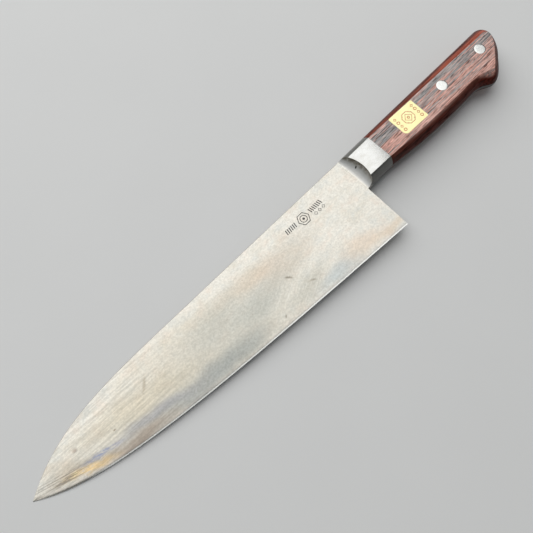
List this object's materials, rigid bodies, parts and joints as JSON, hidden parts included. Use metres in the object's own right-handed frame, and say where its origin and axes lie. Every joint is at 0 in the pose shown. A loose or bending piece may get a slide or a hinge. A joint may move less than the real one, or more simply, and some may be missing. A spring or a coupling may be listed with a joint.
{
  "type": "chef knife",
  "caption": "Western-handled gyuto chef knife: full-tang steel blade, soldered bolster with a hollow front, dark wood scales held by flush rivets, and a foil sticker.",
  "frame": {"origin": "centre of the knife's bounding box in X and Y, on the surface it lies on", "axes": "+X from the tip to the butt, +Y from the cutting edge to the spine, +Z out of the left side, which faces up"},
  "size_m": [0.3694, 0.054, 0.0161],
  "materials": {
    "blade_steel": "satin, fine scratches, light patina",
    "bolster_steel": "satin polished",
    "handle_wood": "semi-gloss resin-filled laminated wood, grain along the handle",
    "rivet_metal": "satin, ground flush",
    "label_foil": "pale gold foil paper with red print"
  },
  "bodies": {
    "root": {"blade": "blade_steel", "bolster_left": "bolster_steel", "bolster_right": "bolster_steel", "scale_left": "handle_wood", "scale_right": "handle_wood", "rivet_front_female": "rivet_metal", "rivet_front_male": "rivet_metal", "rivet_middle_female": "rivet_metal", "rivet_middle_male": "rivet_metal", "rivet_rear_female": "rivet_metal", "rivet_rear_male": "rivet_metal", "label": "label_foil"}
  },
  "joints": []
}
